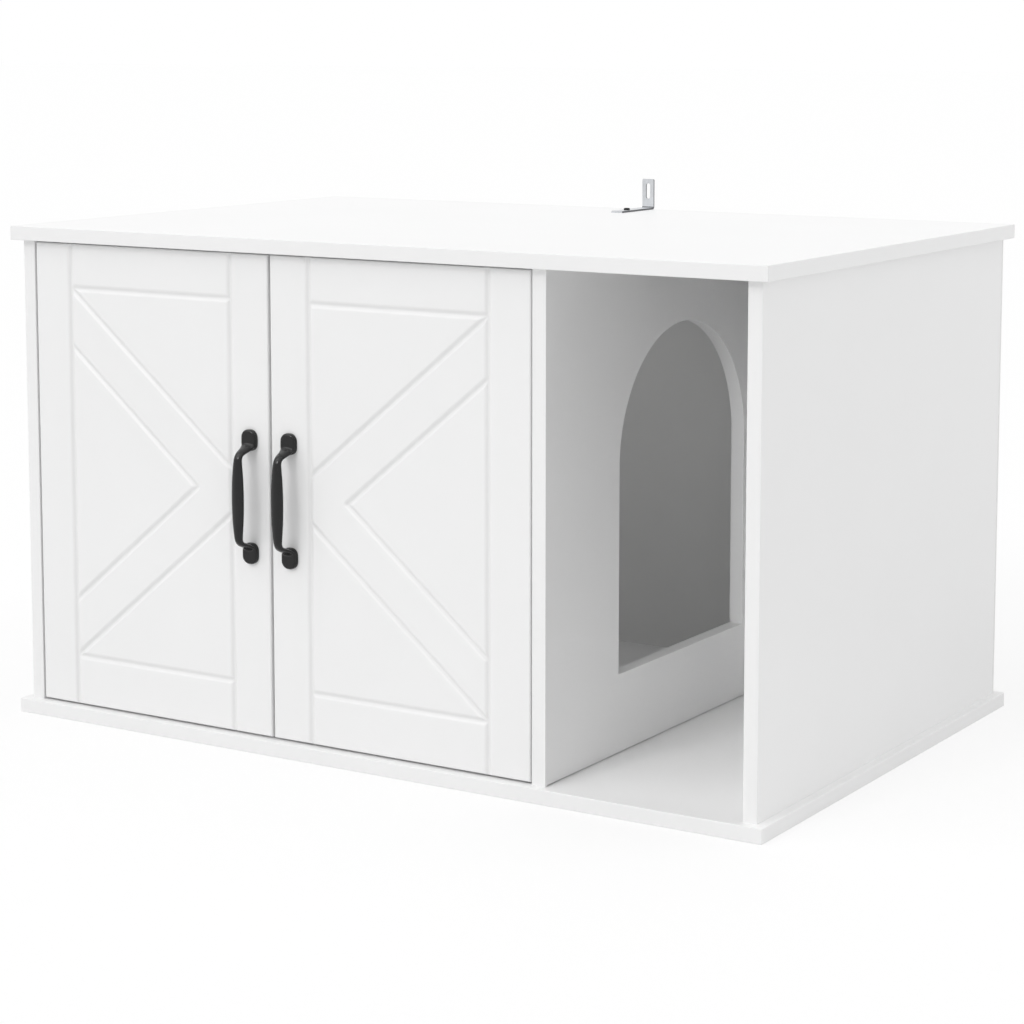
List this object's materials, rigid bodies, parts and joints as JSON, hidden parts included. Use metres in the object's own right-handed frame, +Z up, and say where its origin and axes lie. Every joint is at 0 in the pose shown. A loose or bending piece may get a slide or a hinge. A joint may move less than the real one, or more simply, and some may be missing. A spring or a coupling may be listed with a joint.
{
  "type": "cat house",
  "caption": "White board cabinet for a cat: a litter compartment behind hinged chevron doors with black bow handles, and an open side bay with an arched doorway.",
  "frame": {"origin": "centre of the base panel's underside, on the floor", "axes": "+X to the right seen from the front, +Y to the back, +Z up"},
  "size_m": [0.9, 0.606, 0.565],
  "materials": {
    "white_board": "white melamine-faced particle board, satin, edges banded",
    "white_door": "white foil-wrapped fibreboard, satin, routed grooves",
    "white_hardboard": "white-faced hardboard",
    "black_iron": "satin black powder coat on cast metal",
    "zinc_steel": "bright zinc plating",
    "nickel_steel": "nickel plating",
    "black_steel": "black oxide",
    "white_plastic": "moulded white plastic",
    "beech": "fluted beech",
    "magnet": "sintered ferrite"
  },
  "bodies": {
    "cabinet": {"top_panel": "white_board", "base_panel": "white_board", "left_side_panel": "white_board", "right_side_panel": "white_board", "divider_panel": "white_board", "back_panel": "white_hardboard", "left_upper_hinge_arm": "nickel_steel", "left_upper_hinge_plate": "nickel_steel", "left_lower_hinge_arm": "nickel_steel", "left_lower_hinge_plate": "nickel_steel", "left_hinge_plate_screws": "nickel_steel", "left_hinge_arm_screws": "nickel_steel", "right_upper_hinge_arm": "nickel_steel", "right_upper_hinge_plate": "nickel_steel", "right_lower_hinge_arm": "nickel_steel", "right_lower_hinge_plate": "nickel_steel", "right_hinge_plate_screws": "nickel_steel", "right_hinge_arm_screws": "nickel_steel", "wall_bracket": "zinc_steel", "wall_bracket_screw": "black_steel", "cam_locks": "zinc_steel", "cam_bolts": "zinc_steel", "cam_caps": "white_plastic", "wood_dowels": "beech", "base_screws": "zinc_steel", "back_panel_nails": "zinc_steel", "door_catch": "white_plastic", "catch_magnets": "magnet", "catch_screws": "zinc_steel"},
    "left_door": {"left_door": "white_door", "left_handle": "black_iron", "left_handle_screws": "zinc_steel", "left_strike": "zinc_steel", "left_strike_screw": "zinc_steel", "left_hinge_cup_screws": "nickel_steel", "left_upper_hinge_cup": "nickel_steel", "left_upper_hinge_pin": "nickel_steel", "left_lower_hinge_cup": "nickel_steel", "left_lower_hinge_pin": "nickel_steel"},
    "right_door": {"right_door": "white_door", "right_handle": "black_iron", "right_handle_screws": "zinc_steel", "right_strike": "zinc_steel", "right_strike_screw": "zinc_steel", "right_hinge_cup_screws": "nickel_steel", "right_upper_hinge_cup": "nickel_steel", "right_upper_hinge_pin": "nickel_steel", "right_lower_hinge_cup": "nickel_steel", "right_lower_hinge_pin": "nickel_steel"}
  },
  "joints": [
    {"name": "left_door_hinge", "type": "hinge", "parent": "cabinet", "child": "left_door", "pos_m": [-0.4135, -0.27849, 0.265], "axis": [0, 0, -1], "range_deg": [0, 95]},
    {"name": "right_door_hinge", "type": "hinge", "parent": "cabinet", "child": "right_door", "pos_m": [0.1865, -0.27849, 0.265], "axis": [0, 0, 1], "range_deg": [0, 95]}
  ]
}
